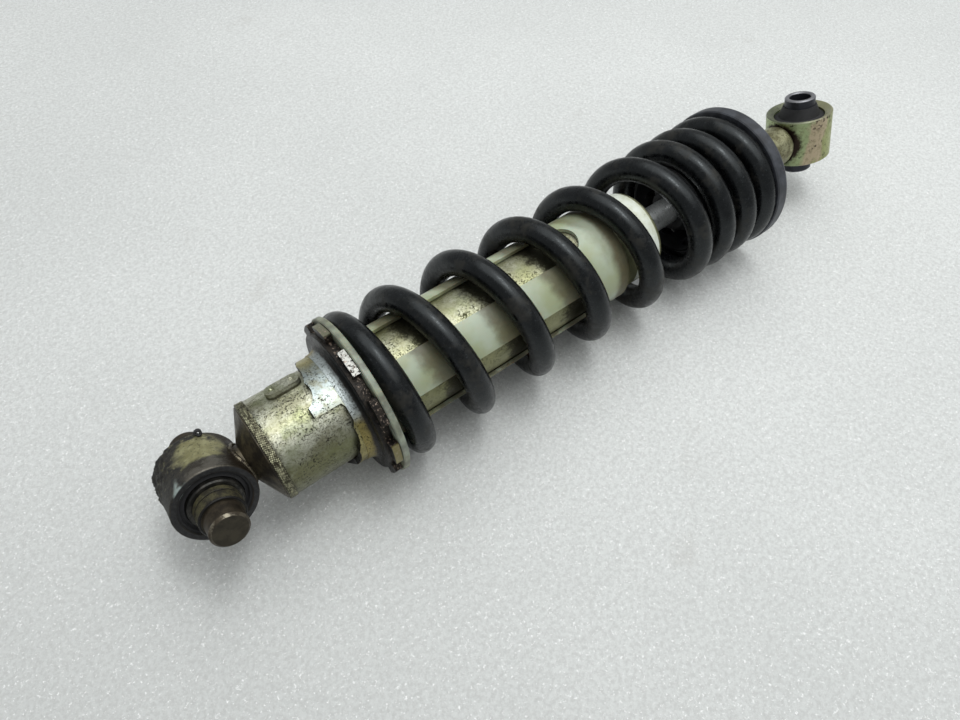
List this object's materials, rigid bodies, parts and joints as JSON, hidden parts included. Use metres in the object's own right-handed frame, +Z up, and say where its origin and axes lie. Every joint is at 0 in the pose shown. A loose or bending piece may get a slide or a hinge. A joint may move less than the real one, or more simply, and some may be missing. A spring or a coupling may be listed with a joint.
{
  "type": "rear shock absorber",
  "caption": "Coil-over rear shock absorber with a stepped preload cam, a dual-rate coil spring, a pinned lower eye and a rubber-bushed upper eye.",
  "frame": {"origin": "centre of the upper eye's bore", "axes": "+X along the shock from the lower eye to the upper eye, +Z up as the shock lies on a bench"},
  "size_m": [0.3647, 0.0684, 0.0684],
  "materials": {
    "yellow_zinc": "worn yellow zinc plate",
    "worn_steel": "dark and slightly rusty",
    "bearing_steel": "burnished brown steel",
    "plain_steel": "bare steel",
    "alloy": "machined",
    "chrome_rod": "ground hard chrome",
    "white_nylon": "aged natural nylon",
    "black_paint": "satin black",
    "black_plastic": "moulded black",
    "black_rubber": "matt",
    "label_film": "blank film"
  },
  "bodies": {
    "damper_body": {"lower_eye_barrel": "yellow_zinc", "bearing_cup": "bearing_steel", "needle_rollers": "bearing_steel", "near_lip_seal": "black_rubber", "far_lip_seal": "black_rubber", "lower_end_cap": "worn_steel", "damper_tube": "yellow_zinc", "stop_lugs": "yellow_zinc", "label_band": "label_film", "inner_cylinder": "plain_steel", "base_valve_body": "alloy", "base_valve_disc": "plain_steel", "rod_guide": "alloy", "oil_seal": "black_rubber", "tube_end_cap": "worn_steel", "dust_wiper": "black_rubber"},
    "pivot": {"pivot_sleeve": "bearing_steel", "near_spacer": "yellow_zinc", "far_spacer": "yellow_zinc", "pivot_pin": "bearing_steel"},
    "spring_guide": {"nylon_spring_guide": "white_nylon"},
    "preload_adjuster": {"cam_sleeve": "yellow_zinc", "spanner_collar": "worn_steel"},
    "rod_assembly": {"coil_spring": "black_paint", "piston_rod": "chrome_rod", "piston": "alloy", "piston_nut": "plain_steel", "compression_shims": "plain_steel", "rebound_shims": "plain_steel", "top_out_bumper": "black_rubber", "bump_stop": "black_rubber", "bump_washer": "plain_steel", "slotted_upper_guide": "black_plastic", "upper_spring_seat": "black_paint", "upper_stem": "yellow_zinc", "upper_eye_barrel": "yellow_zinc", "upper_rubber_bush": "black_rubber"},
    "upper_sleeve": {"upper_inner_sleeve": "plain_steel"}
  },
  "joints": [
    {"name": "damper_slide", "type": "slide", "parent": "damper_body", "child": "rod_assembly", "axis": [-1, 0, 0], "range_m": [0, 0.042], "stiffness_N_per_m": 60000, "deforming": ["coil_spring", "bump_stop"]},
    {"name": "preload_lift", "type": "slide", "parent": "damper_body", "child": "spring_guide", "axis": [1, 0, 0], "range_m": [-0.0064, 0.0016], "deforming": ["coil_spring"]},
    {"name": "preload_turn", "type": "hinge", "parent": "spring_guide", "child": "preload_adjuster", "pos_m": [-0.273, 0, 0], "axis": [1, 0, 0], "range_deg": [-30, 120]},
    {"name": "lower_pivot_turn", "type": "hinge", "parent": "damper_body", "child": "pivot", "pos_m": [-0.3335, 0, 0], "axis": [0, -0.9239, 0.3827], "continuous": true},
    {"name": "upper_bush_twist", "type": "hinge", "parent": "rod_assembly", "child": "upper_sleeve", "pos_m": [0, 0, 0], "axis": [0, 0.3827, 0.9239], "range_deg": [-12, 12], "stiffness_Nm_per_rad": 5}
  ],
  "couplings": [
    {"joint": "preload_turn", "follows": "preload_lift", "rad_per_m": -327}
  ]
}
